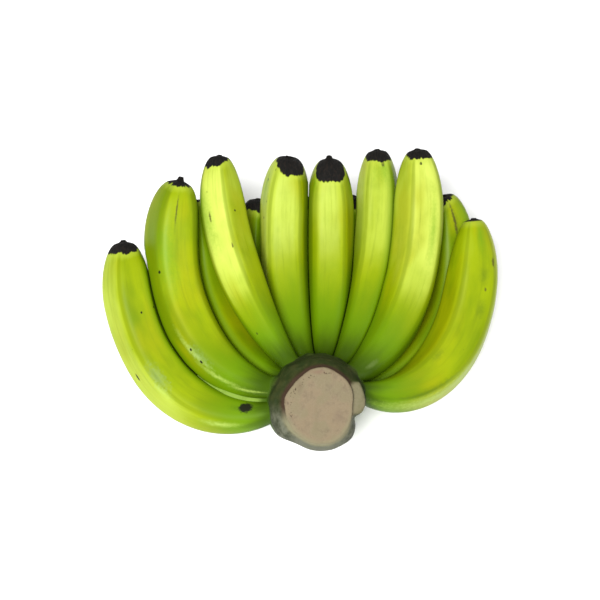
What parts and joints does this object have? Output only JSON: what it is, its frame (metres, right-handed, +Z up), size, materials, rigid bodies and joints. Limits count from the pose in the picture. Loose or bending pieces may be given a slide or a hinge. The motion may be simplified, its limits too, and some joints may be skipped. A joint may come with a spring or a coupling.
{
  "type": "bunch of bananas",
  "caption": "Hand of unripe green bananas: curved, softly ridged fingers in nested rows fan out from a cut crown; it lies on the backs of the outer row.",
  "frame": {"origin": "middle of the bounding box in X and Y, at the level of the surface that the hand lies on", "axes": "+Z up. +Y the way the blossom ends point, as seen from above, with the cut crown at the -Y end. +X to the right with the crown nearest the viewer, across the fan of the fingers"},
  "size_m": [0.3044, 0.244, 0.1174],
  "materials": {
    "crown_rind": "dull cut stalk tissue with a greyish green rind",
    "peel_1": "satin green banana peel with a dry black blossom end",
    "peel_2": "satin green banana peel with a dry black blossom end",
    "peel_3": "satin green banana peel with a dry black blossom end",
    "peel_4": "satin green banana peel with a dry black blossom end",
    "peel_5": "satin green banana peel with a dry black blossom end",
    "peel_6": "satin green banana peel with a dry black blossom end",
    "peel_7": "satin green banana peel with a dry black blossom end",
    "peel_8": "satin green banana peel with a dry black blossom end",
    "peel_9": "satin green banana peel with a dry black blossom end",
    "peel_10": "satin green banana peel with a dry black blossom end",
    "peel_11": "satin green banana peel with a dry black blossom end",
    "peel_12": "satin green banana peel with a dry black blossom end",
    "peel_13": "satin green banana peel with a dry black blossom end",
    "peel_14": "satin green banana peel with a dry black blossom end"
  },
  "bodies": {
    "root": {"crown": "crown_rind", "banana_inner_1": "peel_1", "banana_inner_2": "peel_2", "banana_inner_3": "peel_3", "banana_inner_4": "peel_4", "banana_inner_5": "peel_5", "banana_inner_6": "peel_6", "banana_inner_7": "peel_7", "banana_inner_8": "peel_8", "banana_outer_1": "peel_9", "banana_outer_2": "peel_10", "banana_outer_3": "peel_11", "banana_outer_4": "peel_12", "banana_outer_5": "peel_13", "banana_outer_6": "peel_14"}
  },
  "joints": []
}
